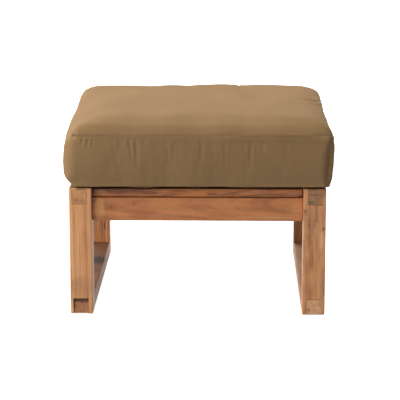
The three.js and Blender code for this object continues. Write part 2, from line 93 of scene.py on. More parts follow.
# Cushion simulation: the cloth's own settings, how far the start lies inside the form, and how much
# of what it moves is kept
CLOTH = {
    "quality": 6, "mass": 0.25, "tension_stiffness": 30, "compression_stiffness": 30,
    "shear_stiffness": 8, "bending_stiffness": 0.4, "use_pressure": True,
    "uniform_pressure_force": 4.0, "shrink_min": -0.007, "vertex_group_mass": "seams",
}
SIM_FRAMES = 20
SIM_SHRINK = 2.5 * MM
SIM_CAP = 5 * MM
SIM_SHARE = 0.35

# Seams: how far their crease is filled out along the sides, and how deep it is at the corners
SEAM_FILL = 0.8 * MM
SEAM_DEPTH = 0.9 * MM
SEAM_WIDTH = 1.7 * MM

CUSHION_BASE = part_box("cushion_cover")[0].z
# Where its front and back begin
IN_FRONT = -0.2
IN_BACK = 0.28

# Zip in the back wall. Its two rows reach past each other by twice the bite
ZIP_LOW, ZIP_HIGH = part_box("zip_chain")
TAPE_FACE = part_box("zip_tape_upper")[1].y
ZIP_Z = (ZIP_LOW.z + ZIP_HIGH.z) / 2
ZIP_REACH = ZIP_HIGH.x
ZIP_HALF_OPENING = 6.5 * MM
ZIP_RECESS = 1.5 * MM
ZIP_PITCH = 1.6 * MM
ZIP_BITE = 0.7 * MM
# Section of the coil: across in millimetres, and outward as a share of its height
COIL_SECTION = [
    (-0.42, -0.3), (0.42, -0.3), (0.44, 0.45), (0.22, 0.97), (-0.22, 0.97), (-0.44, 0.45),
]
STITCH_PITCH = 4.2 * MM
STITCH_LENGTH = 3 * MM
STITCH_HALF = (0.34 * MM, 0.3 * MM)
STITCH_OFFSET = 9.2 * MM
END_MARGIN = 6 * MM
OUTWARD = Vector((0, 1, 0))

# Linear colours of the cloth, the sewing thread and the lamps
CANVAS_LIGHT = (0.37, 0.228, 0.108, 1.0)
CANVAS_DARK = (0.26, 0.155, 0.069, 1.0)
TAPE_LIGHT = (0.2, 0.13, 0.07, 1.0)
TAPE_DARK = (0.12, 0.075, 0.04, 1.0)
THREAD_LIGHT = (0.42, 0.27, 0.14, 1.0)
THREAD_DARK = (0.3, 0.19, 0.09, 1.0)
WARM = (1.0, 0.98, 0.95)


def placed(name, data):
    """A new object of the scene with this data."""
    made = bpy.data.objects.new(name, data)
    bpy.context.scene.collection.objects.link(made)
    return made


def hump(offset, width):
    """A smooth hump of height 1 where the offset is 0."""
    return np.exp(-((offset / width) ** 2))


# Shader graphs

class Graph:
    """The node tree of a material or world, with short calls for the nodes used here."""

    def __init__(self, name, group=bpy.data.materials):
        self.owner = group.new(name)
        self.owner.use_nodes = True
        self.nodes = self.owner.node_tree.nodes

    def node(self, kind, inputs=(), **settings):
        made = self.nodes.new(kind)
        for key, value in settings.items():
            setattr(made, key, value)
        for socket, value in dict(inputs).items():
            self.put(value, made.inputs[socket])
        return made

    def put(self, value, socket):
        if isinstance(value, bpy.types.NodeSocket):
            self.owner.node_tree.links.new(value, socket)
        else:
            socket.default_value = value

    def math(self, operation, first, second=0.0):
        return self.node("ShaderNodeMath", {0: first, 1: second}, operation=operation).outputs[0]

    def times(self, first, second):
        return self.math("MULTIPLY", first, second)

    def plus(self, first, second):
        return self.math("ADD", first, second)

    def minus(self, first, second):
        return self.math("SUBTRACT", first, second)

    def either(self, share, first, second):
        """The first value where the share is 1, and the second where it is 0."""
        return self.plus(self.times(share, first), self.times(self.minus(1.0, share), second))

    def total(self, *parts):
        """The sum of values, each times its weight."""
        made = 0.0
        for value, weight in parts:
            made = self.plus(made, self.times(value, weight))
        return made

    def place(self):
        """A point's place, and the way its surface looks."""
        found = self.node("ShaderNodeTexCoord").outputs
        return found["Object"], found["Normal"]

    def length(self, parts):
        vector = {0: self.join(*parts)}
        return self.node("ShaderNodeVectorMath", vector, operation="LENGTH").outputs["Value"]

    def split(self, vector):
        return self.node("ShaderNodeSeparateXYZ", {0: vector}).outputs

    def join(self, x, y, z):
        return self.node("ShaderNodeCombineXYZ", {0: x, 1: y, 2: z}).outputs[0]

    def noise(self, vector, scale=1.0, detail=2.0, roughness=0.5):
        inputs = {"Vector": vector, "Scale": scale, "Detail": detail, "Roughness": roughness}
        return self.node("ShaderNodeTexNoise", inputs).outputs["Fac"]

    def band(self, value, low, high, to_low=0.0, to_high=1.0):
        """The value mapped smoothly from low..high to to_low..to_high, and held there beyond."""
        inputs = enumerate((value, low, high, to_low, to_high))
        return self.node("ShaderNodeMapRange", inputs, interpolation_type="SMOOTHSTEP").outputs[0]

    def mix(self, share, first, second):
        colors = {0: share, 6: first, 7: second}
        return self.node("ShaderNodeMix", colors, data_type="RGBA").outputs[2]

    def bump(self, height, depth, strength):
        inputs = {"Height": height, "Distance": depth, "Strength": strength}
        return self.node("ShaderNodeBump", inputs).outputs[0]

    def surface(self, **inputs):
        for name, value in inputs.items():
            self.put(value, self.nodes["Principled BSDF"].inputs[name.replace("_", " ")])
        return self.owner


def srgb(*parts):
    """A colour given in the 0 to 255 of a picture, as the linear one that a shader takes."""
    shares = [part / 255 for part in parts]
    return (*(s / 12.92 if s <= 0.04045 else ((s + 0.055) / 1.055) ** 2.4 for s in shares), 1.0)


# Places seen in the photograph

def pixels_of(points):
    """The pixels of the photograph in which an array of points is seen."""
    local = (points - np.array(CAMERA_PLACE)) @ np.array(CAMERA_TURN.to_matrix())
    across = HALF_PICTURE - local[:, 0] / local[:, 2] / PIXEL_REACH
    down = HALF_PICTURE + local[:, 1] / local[:, 2] / PIXEL_REACH
    return np.stack([across, down], -1)


def seen_at(pixel_x, pixel_y, depth):
    """The point that a pixel of the photograph shows on the upright plane at this depth, y."""
    right, up = pixel_x - HALF_PICTURE, HALF_PICTURE - pixel_y
    way = CAMERA_TURN.to_matrix() @ Vector((right * PIXEL_REACH, up * PIXEL_REACH, -1))
    start = Vector(CAMERA_PLACE)
    return start + way * ((depth - start.y) / way.y)


def seen_on(pixel_x, pixel_y, level):
    """The point that a pixel of the photograph shows on the level plane at this height, z."""
    start = Vector(CAMERA_PLACE)
    way = seen_at(pixel_x, pixel_y, 0) - start
    return start + way * ((level - start.z) / way.z)


RING_WIDTH = 4.2 * MM

# Marks on the wood where the photograph shows them, some of them painted shade and painted light:
# the pixel, half width and half height (or half length) in millimetres, tone and its share. The
# first lie on a piece's front, the rest on its top
FRONT_MARKS_AND_SHADE = {
    "front_left_post": [
        (71.6, 288, 3, 62, (150, 98, 66), 0.55), (77, 250, 8, 95, (232, 176, 128), 0.35),
        # The small dark spot by the apron's top left corner is painted shade
        (93.8, 196.8, 2.5, 3, (60, 34, 20), 0.85), (81, 287, 34, 30, (160, 112, 78), 0.4),
    ],
    "front_right_post": [
        (321.6, 241, 4.5, 24, (232, 184, 138), 0.85), (323.6, 229, 2.5, 5, (60, 44, 44), 0.8),
        (308.5, 240, 5, 26, (142, 92, 62), 0.4), (307, 268, 6, 30, (142, 92, 62), 0.45),
        (307, 212, 7, 14, (142, 92, 62), 0.4), (316.5, 230, 6, 26, (226, 170, 122), 0.5),
    ],
    "back_left_post": [
        (104.8, 224.5, 1.8, 17, (40, 24, 14), 0.9), (110.2, 231, 2.5, 30, (84, 54, 34), 0.7),
    ],
    "left_top_rail": [
        # The dark line along the tenon end's top and the one down its right side are painted shade;
        # the other two are dark patches in the wood
        (80, 189.4, 16, 3, (104, 68, 46), 0.7), (76, 200.6, 9, 6, (128, 88, 58), 0.6),
        (86.6, 196, 3, 14, (130, 92, 62), 0.5), (83, 201.5, 12, 4, (120, 84, 58), 0.5),
    ],
    "right_top_rail": [
        (313, 190.6, 18, 2.2, (110, 88, 70), 0.7), (314, 195.2, 16, 3, (96, 76, 62), 0.7),
        (312, 202.6, 16, 2.6, (80, 72, 66), 0.8),
    ],
    "left_runner": [
        # Painted shadow along the top and the left of the tenon end, where it lies recessed in its
        # post
        (80.5, 298.6, 44, 13, (64, 42, 34), 0.94), (72.6, 303, 9, 20, (64, 42, 34), 0.9),
    ],
    "right_runner": [(308.5, 309.5, 3.5, 5, (128, 90, 64), 0.6)],
    "front_apron": [
        (99, 208, 16, 28, (216, 150, 88), 0.65), (270, 217.5, 75, 2.2, (214, 166, 120), 0.5),
        (262, 209, 80, 8, (140, 80, 42), 0.4), (170, 215, 60, 2, (206, 150, 104), 0.25),
        (165, 217, 150, 7, (140, 82, 46), 0.3), (297, 208, 16, 26, (216, 152, 94), 0.4),
    ],
    "slat_1": [
        (116, 192, 24, 5, (112, 62, 30), 0.6), (150, 193, 30, 5, (94, 50, 24), 0.7),
        (178, 191, 26, 4, (98, 52, 28), 0.6), (212, 194, 16, 4, (94, 50, 26), 0.7),
        (262, 192, 40, 6, (176, 116, 80), 0.5), (100, 192, 18, 6, (176, 114, 70), 0.5),
        (217, 191.5, 50, 3, (94, 50, 26), 0.35), (294, 194, 22, 6, (182, 120, 76), 0.65),
    ],
}
TOP_MARKS_LIGHT_AND_SHADE = {
    "left_runner": [
        # Bands of painted shade and painted light along the runner's top, under the seat
        (99.5, 246, 34, 50, (122, 84, 54), 0.5), (99.0, 260, 34, 46, (40, 28, 20), 0.9),
        (96.5, 277, 26, 42, (150, 92, 58), 0.6), (97.0, 294, 24, 46, (52, 36, 26), 0.9),
    ],
    # A pool of painted light on the runner's top
    "right_runner": [(299, 276, 40, 210, (206, 164, 128), 0.75)],
}
MARK_DEPTH = 14
TOP_MARK_DEPTH = 6

# Tones of the sides, light and dark, and of the end grain
LEFT_TEAK = (242, 177, 117), (172, 107, 61)
# The right side's tones are darker than the left's: painted shade, for the side turned from the
# light
SHADED_RIGHT_TEAK = (217, 151, 98), (137, 80, 45)
APRON_TEAK = (204, 129, 73), (128, 66, 31)
SLAT_TEAK = (194, 118, 59), (92, 48, 20)
INNER_TEAK = (196, 136, 86), (132, 80, 45)
DOWEL_WOOD = (214, 180, 134), (186, 146, 100)
POST_END = (180, 130, 90)
INNER_END = (170, 122, 84)
APRON_END = (160, 112, 74)

# Tints of whole faces: the face, the tone and its share. All that looks up has greyed a little.
# The deck's top faces carry painted shade, darkened for the shade under the cushion
GREYED = ("+Z", (150, 128, 108), 0.3)
DECK_SHADE = [("+Z", (84, 54, 34), 0.6)]

# The wooden pieces: the grain's axis, the tones, the end grain's tone, and what is each one's own
LOOKS = {
    "front_left_post": ("Z", LEFT_TEAK, POST_END, dict(
        # The inner face is tinted grey: painted light, the cool fill it takes from the pale
        # surroundings
        mottle=0.5, tints=[("+X", (178, 160, 146), 0.6)],
    )),
    "front_right_post": ("Z", SHADED_RIGHT_TEAK, POST_END, dict(
        # The inner face is tinted a lighter orange: painted light, from the lamp on the left
        figure=0.55, mottle=1.8, knots=[(304.7, 211.5, 5.5)], tints=[("-X", (212, 156, 106), 0.6)],
    )),
    "back_left_post": ("Z", ((225, 151, 91), (139, 82, 44)), INNER_END, {}),
    # The right back post's darker tones are painted shade under the seat
    "back_right_post": ("Z", ((156, 99, 40), (108, 62, 23)), (150, 106, 70), {}),
    "left_top_rail": ("Y", LEFT_TEAK, (216, 151, 97), dict(tints=DECK_SHADE)),
    "right_top_rail": ("Y", SHADED_RIGHT_TEAK, (180, 127, 81), dict(tints=DECK_SHADE)),
    "left_runner": ("Y", LEFT_TEAK, (196, 138, 94), dict(
        # The top is darkened as painted shade under the seat, and the inner face tinted grey as
        # painted fill light
        gloss=0.2, tints=[("+Z", (82, 47, 27), 0.86), ("+X", (128, 120, 112), 0.66)],
    )),
    "right_runner": ("Y", SHADED_RIGHT_TEAK, (236, 177, 126), dict(tints=[("+Z", (116, 98, 84), 0.45)])),
    "front_apron": ("X", APRON_TEAK, APRON_END, dict(
        pith=(34 * MM, 14 * MM), tilt=0.045, figure=0.42, mottle=1.1, tints=DECK_SHADE,
        knots=[(134, 204, 3.5), (111, 207, 3)],
    )),
    "back_apron": ("X", APRON_TEAK, APRON_END, dict(
        pith=(-34 * MM, -12 * MM), tilt=-0.04, figure=0.8, tints=DECK_SHADE,
    )),
}


def marked_plane(low):
    """The depth of a piece's front marks. Rails and runners count as flush with their posts."""
    return -FRAME_HALF if low.y < -FRAME_HALF + 5 * MM else low.y


def marks_and_shading_on(name):
    """A piece's marks, painted shade and painted light among them: their middle, half sizes in
    millimetres along x, y and z, tone and share.
    """
    low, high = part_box(name)
    for x, y, half_x, half_up, tone, share in FRONT_MARKS_AND_SHADE.get(name, ()):
        yield seen_at(x, y, marked_plane(low)), (half_x, MARK_DEPTH, half_up), tone, share
    for x, y, half_x, half_y, tone, share in TOP_MARKS_LIGHT_AND_SHADE.get(name, ()):
        yield seen_on(x, y, high.z), (half_x, half_y, TOP_MARK_DEPTH), tone, share


def deepened(color, share):
    return [channel * share for channel in color[:3]] + [1.0]


def teak(name, axis, tones, end, pith, seed, tilt=0.0, figure=1.0, mottle=1.0, gloss=0.5,
         knots=(), tints=()):
    """Solid teak with its grain along the given axis: rings about a pith beside the bar, fibres and
    open pores on the sides, and end grain where a face looks along the axis. A knot is given by a
    pixel of the photograph and its size in millimetres."""
    g = Graph("teak_" + name)
    low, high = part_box(name)
    centre = dict(zip("XYZ", (low + high) / 2))
    light, dark, end = (srgb(*tone) for tone in (*tones, end))
    here, way = g.place()
    place = dict(zip("XYZ", g.split(here)))
    normal = dict(zip("XYZ", g.split(way)))

    def apart(at):
        """How far a place is from this one, along each axis."""
        return [g.minus(place[letter], value) for letter, value in zip("XYZ", at)]

    def grained(along_pace, across_pace, **settings):
        """Noise that is finer across the grain than along it."""
        across = g.times(first, across_pace), g.times(second, across_pace)
        return g.noise(g.join(g.times(along, along_pace), *across), **settings)

    along = g.minus(place[axis], centre[axis] + seed * 0.37)
    middle = g.minus(place[axis], centre[axis])
    first, second = (
        g.minus(place[letter], centre[letter] + offset)
        for letter, offset in zip("XYZ".replace(axis, ""), pith)
    )
    # Slow wander of the grain along the bar
    wander = grained(3.6, 9, detail=2.5)
    sway = g.noise(g.join(g.times(along, 1.8), seed * 1.7, seed * 0.6), detail=1.5)
    first = g.plus(g.plus(first, g.times(middle, tilt)), g.times(g.minus(sway, 0.5), 46 * MM))
    second = g.plus(second, g.times(g.minus(wander, 0.5), 15 * MM))
    # Knots, a little longer than wide, push the grain aside
    knots = [(apart(seen_at(x, y, marked_plane(low))), size * MM) for x, y, size in knots]
    for offsets, size in knots:
        pulls = [0.45 if letter == axis else 1.0 for letter in "XYZ"]
        reach = g.length(g.times(offset, pull) for offset, pull in zip(offsets, pulls))
        push = g.band(reach, 0.0, size * 2.6, 1.0, 0.0)
        second = g.plus(second, g.times(push, size * 1.3))
    radius = g.math("SQRT", g.plus(g.times(first, first), g.times(second, second)))
    uneven = g.noise(g.join(g.times(radius, 95), seed * 2.3, g.times(along, 0.7)))
    count = g.plus(g.math("DIVIDE", radius, RING_WIDTH), g.times(uneven, 3.4))
    phase = g.math("FRACT", count)
    latewood = g.times(g.band(phase, 0.4, 0.85), g.band(phase, 0.9, 1.0, 1.0, 0.0))
    streaky = g.join(g.times(radius, 150), g.times(along, 1.3), seed)
    streaks = g.noise(streaky, detail=3.0, roughness=0.62)
    broad = g.noise(g.join(g.times(radius, 48), g.times(along, 2.2), seed * 1.3))
    fibres = grained(16, 620, roughness=0.6)
    clouds = grained(17, 60, detail=3.0)
    pores = g.band(grained(85, 1500, detail=1.0), 0.62, 0.72)
    depth = g.total(
        (latewood, 0.34 * figure), (g.band(streaks, 0.36, 0.64), 0.42),
        (g.band(broad, 0.35, 0.65), 0.34 * figure), (g.minus(clouds, 0.5), 1.1 * mottle),
        (g.minus(fibres, 0.5), 0.5), (pores, 0.18),
    )
    side_color = g.mix(g.minus(depth, 0.12), light, dark)
    # End grain: its rings plain, with pores as dots and blotches where it has drunk more oil
    ending = g.band(g.math("ABSOLUTE", normal[axis]), 0.8, 0.95)
    dots = g.noise(g.join(0.0, g.times(first, 1300), g.times(second, 1300)), detail=1.0)
    blotches = g.band(g.noise(g.join(seed, g.times(first, 70), g.times(second, 120))), 0.42, 0.7)
    end_depth = g.total((latewood, 0.45), (g.band(dots, 0.5, 0.75), 0.2), (blotches, 0.4))
    color = g.mix(ending, side_color, g.mix(end_depth, end, deepened(end, 0.42)))
    # Features with ragged edges: the hearts of the knots, and the marks, painted shade and painted
    # light among them
    ragged = g.minus(g.noise(here, 160.0, 3.0), 0.5)
    for offsets, size in knots:
        reach = g.plus(g.length(offsets), g.times(ragged, size * 1.6))
        color = g.mix(g.band(reach, size * 0.3, size * 1.1, 0.5, 0.0), color, deepened(dark, 0.16))
    # Whole faces tinted: the greying of all that looks up, and painted shade and painted light on
    # the faces some pieces list
    for (sign, letter), tone, share in (GREYED, *tints):
        facing = g.times(normal[letter], 1.0 if sign == "+" else -1.0)
        color = g.mix(g.band(facing, 0.7, 0.95, 0.0, share), color, srgb(*tone))
    for at, halves, tone, share in marks_and_shading_on(name):
        offsets = [g.math("DIVIDE", offset, half * MM) for offset, half in zip(apart(at), halves)]
        reach = g.plus(g.length(offsets), g.times(ragged, 1.2))
        color = g.mix(g.band(reach, 0.45, 1.15, share, 0.0), color, srgb(*tone))
    rough = g.plus(g.total((streaks, 0.14), (pores, 0.08)), 0.5)
    relief = g.total((fibres, 0.5), (pores, -0.6), (latewood, -0.25))
    g.surface(Base_Color=color, Roughness=rough, Normal=g.bump(relief, 0.25 * MM, 0.6))
    return g.surface(Specular_IOR_Level=gloss)


def wood_looks():
    """The look of every wooden piece: those of the table, and those that come in sets."""
    looks = dict(LOOKS)
    for name in ("left_bearer", "centre_bearer", "right_bearer"):
        looks[name] = ("Y", INNER_TEAK, INNER_END, {})
    for name in sorted(NODES):
        if name.startswith("slat_") and not name.startswith("slat_screw"):
            looks[name] = ("X", SLAT_TEAK, (130, 90, 62), dict(mottle=1.6, figure=1.2, tints=DECK_SHADE))
        if name.startswith("apron_dowel"):
            looks[name] = ("X", DOWEL_WOOD, (200, 166, 122), dict(mottle=0.5))
    return looks


def dress_wood():
    """Every wooden node keeps its mesh and gets a teak of its own."""
    draw = random.Random(7)
    for number, (name, (axis, tones, end, own)) in enumerate(wood_looks().items()):
        pith = (draw.choice((-1, 1)) * draw.uniform(38, 70) * MM, draw.uniform(-30, 30) * MM)
        own = {"pith": pith, "seed": number * 0.61 + 0.3, **own}
        wear(name, teak(name, axis, tones, end, **own))


def wear(name, material):
    """A CAD node's mesh stays, with this finish alone."""
    slots = NODES[name].data.materials
    slots.clear()
    slots.append(material)


# Metal and nylon

METAL = dict(
    grain=(900.0, 3.0, 0.6), relief=(0.03 * MM, 0.5), stains=(140.0, 2.0), low=0.35, metallic=1.0,
)
NYLON = dict(grain=(1400.0, 2.0), relief=(0.05 * MM, 0.4), stains=(160.0, 3.0, 0.7), low=0.4)


def smooth(name, light, dark, roughness, grain, relief, stains, low, metallic=0.0):
    """A hard finish with a fine grain, that takes a second tone where it is stained."""
    g = Graph(name)
    place = g.place()[0]
    stained = g.noise(place, *stains)
    color = g.mix(g.band(stained, low, low + 0.35), srgb(*light), srgb(*dark))
    rough = g.plus(g.times(stained, 0.2), roughness - 0.1)
    bumps = g.bump(g.noise(place, *grain), *relief)
    return g.surface(Base_Color=color, Metallic=metallic, Roughness=rough, Normal=bumps)


def dress_fittings():
    brass = smooth("aged_brass", (190, 152, 88), (140, 104, 58), 0.34, **METAL)
    steel = smooth("zinc_steel", (196, 198, 200), (150, 150, 150), 0.3, **METAL)
    nylon = smooth("dark_nylon", (44, 42, 40), (66, 63, 58), 0.5, **NYLON)
    for name in NODES:
        if name.startswith("slat_screw") or name in ("zip_slider", "zip_pull"):
            wear(name, brass)
        if name.startswith(("apron_bolt", "barrel_nut")):
            wear(name, steel)
        if name.startswith("glide"):
            wear(name, nylon)


# Fabric

def canvas(name, light, dark, thread=0.9 * MM):
    """A plain-woven outdoor cloth: threads over and under each other, slubs, and a soft sheen."""
    g = Graph(name)
    here, way = g.place()
    x, y, z = g.split(here)
    normal = [g.math("ABSOLUTE", part) for part in g.split(way)]
    # Threads follow the panel: across and along on top, and around and up on the boxing
    flat = g.math("GREATER_THAN", normal[2], 0.72)
    facing = g.math("GREATER_THAN", normal[0], normal[1])
    warp = g.either(flat, x, g.either(facing, y, x))
    weft = g.either(flat, y, z)
    pace = math.tau / (2 * thread)
    waves = [g.math("SINE", g.times(way, pace)) for way in (warp, weft)]
    lift = g.plus(g.times(g.times(*waves), 0.5), 0.5)
    weave = g.either(lift, *(g.math("ABSOLUTE", wave) for wave in waves))
    warp_slubs, weft_slubs = (
        g.noise(g.join(g.times(warp, warp_pace), g.times(weft, weft_pace), z))
        for warp_pace, weft_pace in ((900, 18), (18, 900))
    )
    cloudy = g.noise(here, 9.0, 3.0, 0.55)
    fuzz = g.noise(here, 2600.0, 1.0)
    depth = g.total(
        (g.minus(1.0, weave), 0.42), (g.minus(warp_slubs, 0.5), 0.3),
        (g.minus(weft_slubs, 0.5), 0.25), (g.minus(cloudy, 0.5), 0.4), (fuzz, 0.12),
    )
    color = g.mix(g.band(depth, -0.35, 0.85), light, dark)
    height = g.plus(weave, g.times(g.plus(warp_slubs, weft_slubs), 0.35))
    g.surface(Base_Color=color, Roughness=0.9, Normal=g.bump(height, 0.22 * MM, 0.75))
    return g.surface(Specular_IOR_Level=0.15)


# Cushion form

def rounded_square(side, t, half_x, half_y, radius):
    """Points of a rounded square. Side 0 looks along +X, the rest follow anticlockwise, and t runs
    from -1 to 1 between the middles of corners. Returns the way out and along, and their axes."""
    angle = side * math.pi / 2
    outward = np.stack([np.cos(angle), np.sin(angle)], -1)
    onward = np.stack([-np.sin(angle), np.cos(angle)], -1)
    even = (side % 2) == 0
    half_out = np.where(even, half_x, half_y)
    half_on = np.where(even, half_y, half_x)
    straight = half_on - radius
    reach = t * (straight + radius * math.pi / 4)
    held = np.clip(reach, -straight, straight)
    turn = (reach - held) / radius
    out = half_out - radius + radius * np.cos(turn)
    on = held + radius * np.sin(turn)
    return out, on, outward, onward


def by_side(side, t, values):
    """Each side's own of four values, right, back, left and front, that blend at the corners."""
    own = np.array(values)[side]
    middle = (values[0] + values[1]) / 2
    return own + (middle - own) * t**4


def wall_points(side, t, level):
    """The cushion's side wall at a level from -1, the bottom seam, to 1, the top seam."""
    power = by_side(side, t, BULGE_POWERS)
    bulge = 1 - np.abs(level) ** power
    upper = (1 + level) / 2
    shift = BOTTOM_SHIFT + upper * (TOP_SHIFT - BOTTOM_SHIFT)
    middle = shift + bulge * (BODY_SHIFT - shift)
    half_x = FRAME_HALF + SEAM_OVERHANG_X + bulge * (BODY_OVERHANG_X - SEAM_OVERHANG_X)
    half_y = FRAME_HALF + SEAM_OVERHANG_Y + bulge * (BODY_OVERHANG_Y - SEAM_OVERHANG_Y)
    radius = SEAM_CORNER + (1 - level**2) * (BODY_CORNER - SEAM_CORNER)
    out, on, outward, onward = rounded_square(side, t, half_x, half_y, radius)
    out = out - level**2 * np.array(DRAW_INS)[side] * (1 - t**2)
    flat = out[..., None] * outward + on[..., None] * onward
    to_back = upper * (1 - bulge) * (flat[..., 1] / half_y + 1) / 2
    widening = 1 + to_back * (TOP_BACK_OVERHANG - SEAM_OVERHANG_X) / half_x
    x = middle + widening * flat[..., 0] + to_back * (TOP_BACK_SHIFT - TOP_SHIFT)
    z = np.broadcast_to(CUSHION_BASE + UNDERSIDE_RISE + upper * BOXING_HEIGHT, x.shape)
    return np.stack([x, flat[..., 1], z], -1)


def panel_points(side, t, ring, top):
    """Points of the top or bottom panel, at a ring from 0, the middle, to 1, the seam. The shoulder
    by the seam is a quarter of a superellipse, and a low dome or a flat lies within it."""
    seam = wall_points(side, t, 1.0 if top else -1.0)
    middle = np.array([TOP_SHIFT if top else BOTTOM_SHIFT, 0.0])
    if top:
        width = by_side(side, t, SHOULDERS) / FRAME_HALF
        power = by_side(side, t, SHOULDER_POWERS)
    else:
        width, power = UNDERSIDE_SHOULDER / FRAME_HALF, UNDERSIDE_POWER
    inner = np.minimum(ring / SHOULDER_RING, 1) * (1 - width)
    turn = np.clip((1 - ring) / (1 - SHOULDER_RING), 0, 1) ** SEAM_GRADING * math.pi / 2
    share = np.where(ring < SHOULDER_RING, inner, 1 - width * (1 - np.cos(turn) ** (2 / power)))
    rise = np.sin(turn) ** (2 / power)
    lift = (CROWN - DOME) * rise + DOME * (1 - share**2) if top else -UNDERSIDE_RISE * rise
    flat = middle + share[..., None] * (seam[..., :2] - middle)
    return np.concatenate([flat, (seam[..., 2] + lift)[..., None]], -1)


class Cushion:
    """The crowned box as three grids of points: the panels' squares and the wall's rings."""

    def __init__(self, cells, wall_cells):
        self.cells = cells
        self.wall_cells = wall_cells
        steps = np.linspace(-1, 1, cells + 1)
        b, a = np.meshgrid(steps, steps, indexing="ij")
        self.ring = np.maximum(np.abs(a), np.abs(b))
        safe = np.where(self.ring == 0, 1, self.ring)
        sideways = np.abs(a) >= np.abs(b)
        self.side = np.where(sideways, np.where(a > 0, 0, 2), np.where(b > 0, 1, 3))
        self.t = np.where(sideways, np.sign(a) * b, -np.sign(b) * a) / safe
        levels = np.linspace(-1, 1, wall_cells + 1)
        levels = (1 - WALL_GRADING) * levels + WALL_GRADING * np.sin(levels * math.pi / 2)
        ring_side = np.repeat([0, 1, 2, 3], cells)
        ring_t = np.tile(steps[:-1], 4)
        self.wall_side, self.wall_level = np.meshgrid(ring_side, levels)
        self.wall_t = np.meshgrid(ring_t, levels)[0]
        self.top = self.soften(panel_points(self.side, self.t, self.ring, True))
        self.bottom = panel_points(self.side, self.t, self.ring, False)
        self.wall = wall_points(self.wall_side, self.wall_t, self.wall_level)

    def soften(self, top):
        """The panel's height evened out where two shoulders meet, and less so by the seam."""
        height = top[..., 2]
        weight = np.clip((1 - self.ring) / 0.3, 0, 1)
        for _ in range(int(HIP_SOFTNESS * (self.cells / SIDE_CELLS) ** 2)):
            padded = np.pad(height, 1, mode="edge")
            beside = padded[1:-1, 2:] + padded[1:-1, :-2]
            mean = (padded[2:, 1:-1] + padded[:-2, 1:-1] + beside) / 4
            height = height + 0.9 * weight * (mean - height)
        return np.concatenate([top[..., :2], height[..., None]], -1)

    def rim(self):
        """A panel's outer points, anticlockwise from the front right corner, as grid indices."""
        n, row = self.cells, self.cells + 1
        right = [j * row + n for j in range(n)]
        back = [n * row + i for i in range(n, 0, -1)]
        left = [j * row for j in range(n, 0, -1)]
        return right + back + left + list(range(n))

    def gather(self, top, bottom, wall):
        """Three grids as one list in the mesh's order: the wall ends in the panels' rims."""
        width = top.shape[-1]
        return np.concatenate([grid.reshape(-1, width) for grid in (top, bottom, wall[1:-1])])

    def spread(self, listed):
        """The reverse of gather."""
        square = (self.cells + 1, self.cells + 1, listed.shape[-1])
        count = square[0] * square[1]
        top, bottom, inner = np.split(listed, [count, 2 * count])
        inner = inner.reshape(self.wall_cells - 1, 4 * self.cells, -1)
        rim = self.rim()
        wall = np.concatenate([bottom[rim][None], inner, top[rim][None]])
        return top.reshape(square), bottom.reshape(square), wall

    def mesh(self, name, points):
        n, row, around = self.cells, self.cells + 1, 4 * self.cells
        rim = self.rim()
        faces = []
        for j in range(n):
            for i in range(n):
                corner = j * row + i
                faces.append((corner, corner + 1, corner + row + 1, corner + row))
                low = corner + row * row
                faces.append((low, low + row, low + row + 1, low + 1))
        inner = (range(k, k + around) for k in range(2 * row * row, len(points), around))
        rings = [[index + row * row for index in rim], *inner, rim]
        for lower, upper in zip(rings, rings[1:]):
            for k in range(around):
                after = (k + 1) % around
                faces.append((lower[k], lower[after], upper[after], upper[k]))
        mesh = bpy.data.meshes.new(name)
        mesh.from_pydata(points.tolist(), [], faces)
        mesh.polygons.foreach_set("use_smooth", [True] * len(faces))
        mesh.update()
        return placed(name, mesh)

    def listed(self, *grids):
        """Three grids of single values as one list, in the mesh's order."""
        return self.gather(*(grid[..., None] for grid in grids))[:, 0]

    def seam_distance(self):
        """How far each point lies from the top seam and from the bottom seam, over the surface."""
        top, low = (
            np.linalg.norm(panel - wall_points(self.side, self.t, level), axis=-1)
            for panel, level in ((self.top, 1.0), (self.bottom, -1.0))
        )
        far = np.full_like(top, 1.0)
        steps = np.linalg.norm(np.diff(self.wall, axis=0), axis=-1)
        up = np.concatenate([np.zeros((1, steps.shape[1])), np.cumsum(steps, axis=0)])
        return self.listed(top, far, up[-1] - up), self.listed(far, low, up)


def finer(grid, ring):
    """A grid of values with its cells halved by smooth interpolation. A ring grid's rows close."""
    for axis in (0, 1):
        closed = ring and axis == 1
        grid = np.moveaxis(grid, axis, 0)
        pad = [(1, 2 if closed else 1), *[(0, 0)] * (grid.ndim - 1)]
        padded = np.pad(grid, pad, mode="wrap" if closed else "edge")
        count = len(padded) - 3
        a, b, c, d = (padded[k : k + count] for k in range(4))
        made = np.empty((2 * count + (0 if closed else 1), *grid.shape[1:]))
        made[::2] = grid
        made[1::2] = (9 * (b + c) - a - d) / 16
        grid = np.moveaxis(made, 0, axis)
    return grid


def read(piece, kind):
    """A piece's points ("co"), or the way its surface looks at each ("normal")."""
    flat = np.zeros(len(piece.data.vertices) * 3, np.float32)
    piece.data.vertices.foreach_get(kind, flat)
    return flat.reshape(-1, 3).astype(float)


def write(piece, points):
    piece.data.vertices.foreach_set("co", points.astype(np.float32).ravel())
    piece.data.update()


